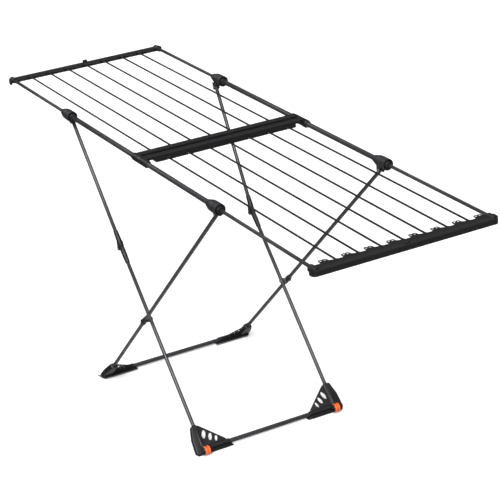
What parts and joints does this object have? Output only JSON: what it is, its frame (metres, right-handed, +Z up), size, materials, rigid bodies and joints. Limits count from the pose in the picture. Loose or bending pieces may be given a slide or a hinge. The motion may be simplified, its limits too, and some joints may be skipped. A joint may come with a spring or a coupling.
{
  "type": "folding clothes drying rack",
  "caption": "Folding clothes drying rack: two extending frames of parallel lines on tubular rails, held by crossed folding legs with plastic knees and feet, with wheels at one end.",
  "frame": {"origin": "on the floor under the middle of the rack", "axes": "+X along the lines towards the wheeled feet, +Y across the lines, +Z up"},
  "size_m": [2.081, 0.591, 0.958],
  "materials": {
    "tube_steel": "satin anthracite powder coat",
    "line_steel": "dark satin coated wire",
    "black_plastic": "fine-grained moulded black plastic",
    "collar_plastic": "fine-grained dark grey plastic",
    "orange_plastic": "smooth orange plastic",
    "pad_rubber": "matt grey rubber",
    "pin_steel": "dark zinc-plated steel"
  },
  "bodies": {
    "centre_frame": {"centre_rail_left": "tube_steel", "centre_rail_right": "tube_steel", "leg_collar_far_left": "collar_plastic", "leg_collar_far_right": "collar_plastic", "leg_collar_near_left": "collar_plastic", "leg_collar_near_right": "collar_plastic", "top_pin_far_left": "pin_steel", "top_pin_far_right": "pin_steel", "top_pin_near_left": "pin_steel", "top_pin_near_right": "pin_steel"},
    "far_line_frame": {"extension_rail_far_left": "tube_steel", "extension_rail_far_right": "tube_steel", "end_bar_far": "black_plastic", "inner_bar_far_half": "black_plastic", "line_far_1": "line_steel", "line_far_2": "line_steel", "line_far_3": "line_steel", "line_far_4": "line_steel", "line_far_5": "line_steel", "line_far_6": "line_steel", "line_far_7": "line_steel"},
    "near_line_frame": {"extension_rail_near_left": "tube_steel", "extension_rail_near_right": "tube_steel", "end_bar_near": "black_plastic", "inner_bar_near_half": "black_plastic", "line_near_1": "line_steel", "line_near_2": "line_steel", "line_near_3": "line_steel", "line_near_4": "line_steel", "line_near_5": "line_steel", "line_near_6": "line_steel", "line_near_7": "line_steel"},
    "upper_legs": {"leg_a_upper_left": "tube_steel", "leg_a_upper_right": "tube_steel", "knee_upper_left": "black_plastic", "knee_upper_right": "black_plastic", "knee_pin_left": "pin_steel", "knee_pin_right": "pin_steel"},
    "lower_legs": {"leg_a_lower_left": "tube_steel", "leg_a_lower_right": "tube_steel", "knee_lower_left": "black_plastic", "knee_lower_right": "black_plastic", "crossing_pin_left": "pin_steel", "crossing_pin_right": "pin_steel", "foot_bracket_near_left": "black_plastic", "foot_bracket_near_right": "black_plastic", "wheel_axle_left": "pin_steel", "wheel_axle_right": "pin_steel", "foot_bar_near": "tube_steel"},
    "long_legs": {"leg_b_left": "tube_steel", "leg_b_right": "tube_steel", "crossing_block_left": "black_plastic", "crossing_block_right": "black_plastic", "foot_bracket_far_left": "black_plastic", "foot_bracket_far_right": "black_plastic", "foot_pad_left": "pad_rubber", "foot_pad_right": "pad_rubber", "foot_bar_far": "tube_steel"},
    "wheel_left_body": {"wheel_left": "orange_plastic"},
    "wheel_right_body": {"wheel_right": "orange_plastic"}
  },
  "joints": [
    {"name": "near_frame_slide", "type": "slide", "parent": "centre_frame", "child": "near_line_frame", "axis": [-1, 0, 0], "range_m": [0, 0.375]},
    {"name": "far_frame_slide", "type": "slide", "parent": "centre_frame", "child": "far_line_frame", "axis": [1, 0, 0], "range_m": [0, 0.375]},
    {"name": "upper_legs_fold", "type": "hinge", "parent": "centre_frame", "child": "upper_legs", "pos_m": [-0.546, 0, 0.916], "axis": [0, -1, 0], "range_deg": [0, 57]},
    {"name": "knee_fold", "type": "hinge", "parent": "upper_legs", "child": "lower_legs", "pos_m": [-0.31339, 0, 0.53653], "axis": [0, 1, 0], "range_deg": [0, 173.16]},
    {"name": "long_legs_fold", "type": "hinge", "parent": "centre_frame", "child": "long_legs", "pos_m": [0.476, 0, 0.916], "axis": [0, 1, 0], "range_deg": [0, 36.5]},
    {"name": "wheel_left_spin", "type": "hinge", "parent": "lower_legs", "child": "wheel_left_body", "pos_m": [0.1915, -0.237, 0.0183], "axis": [0, 1, 0], "continuous": true},
    {"name": "wheel_right_spin", "type": "hinge", "parent": "lower_legs", "child": "wheel_right_body", "pos_m": [0.1915, 0.237, 0.0183], "axis": [0, 1, 0], "continuous": true}
  ],
  "couplings": [
    {"joint": "knee_fold", "follows": "upper_legs_fold", "ratio": 3.0362},
    {"joint": "long_legs_fold", "follows": "upper_legs_fold", "ratio": 0.63942}
  ]
}
